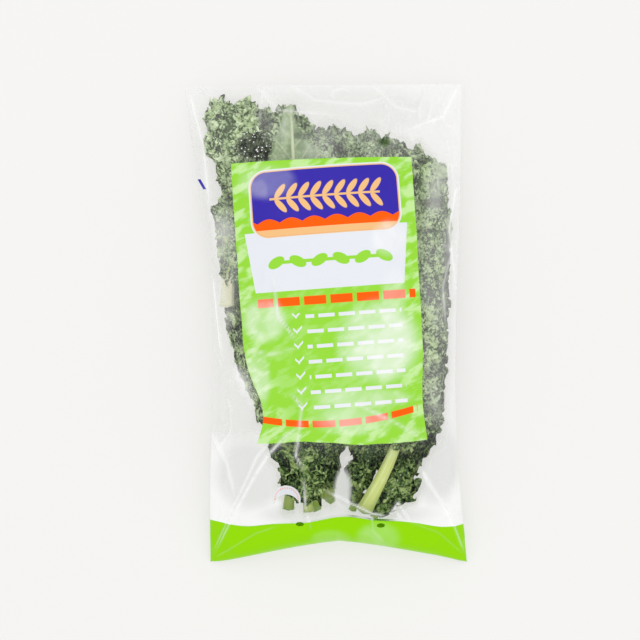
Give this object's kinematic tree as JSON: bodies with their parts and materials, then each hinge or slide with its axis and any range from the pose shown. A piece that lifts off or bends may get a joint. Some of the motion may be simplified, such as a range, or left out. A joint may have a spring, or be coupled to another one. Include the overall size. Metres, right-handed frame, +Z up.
{
  "type": "bagged kale bunch",
  "caption": "Bunch of green curly kale lying in a clear printed film bag with an open mouth.",
  "frame": {"origin": "on the surface that the bag lies on, under the middle of its length and width", "axes": "+Y from the stalk ends at the bag's seam towards its open mouth, +Z up through the front of the bag, +X to the right as seen from above"},
  "size_m": [0.243, 0.412, 0.0701],
  "materials": {
    "clear_film": "clear crinkled film with a high gloss, printed in green over its lower end and a front panel",
    "leaf_green": "matt dark blue-green leaf with a waxy bloom, paler at its frilled edge",
    "stalk_green": "smooth pale green stalk, ridged lengthways, with a cream cut end"
  },
  "bodies": {
    "root": {"film_bag": "clear_film", "leaf_01_blade": "leaf_green", "leaf_01_stalk": "stalk_green", "leaf_02_blade": "leaf_green", "leaf_02_stalk": "stalk_green", "leaf_03_blade": "leaf_green", "leaf_03_stalk": "stalk_green", "leaf_04_blade": "leaf_green", "leaf_04_stalk": "stalk_green", "leaf_05_blade": "leaf_green", "leaf_05_stalk": "stalk_green", "leaf_06_blade": "leaf_green", "leaf_06_stalk": "stalk_green", "leaf_07_blade": "leaf_green", "leaf_07_stalk": "stalk_green", "leaf_08_blade": "leaf_green", "leaf_08_stalk": "stalk_green", "leaf_09_blade": "leaf_green", "leaf_09_stalk": "stalk_green", "leaf_10_blade": "leaf_green", "leaf_10_stalk": "stalk_green", "leaf_11_blade": "leaf_green", "leaf_11_stalk": "stalk_green", "leaf_12_blade": "leaf_green", "leaf_12_stalk": "stalk_green", "leaf_13_blade": "leaf_green", "leaf_13_stalk": "stalk_green", "leaf_14_blade": "leaf_green", "leaf_14_stalk": "stalk_green"}
  },
  "joints": []
}
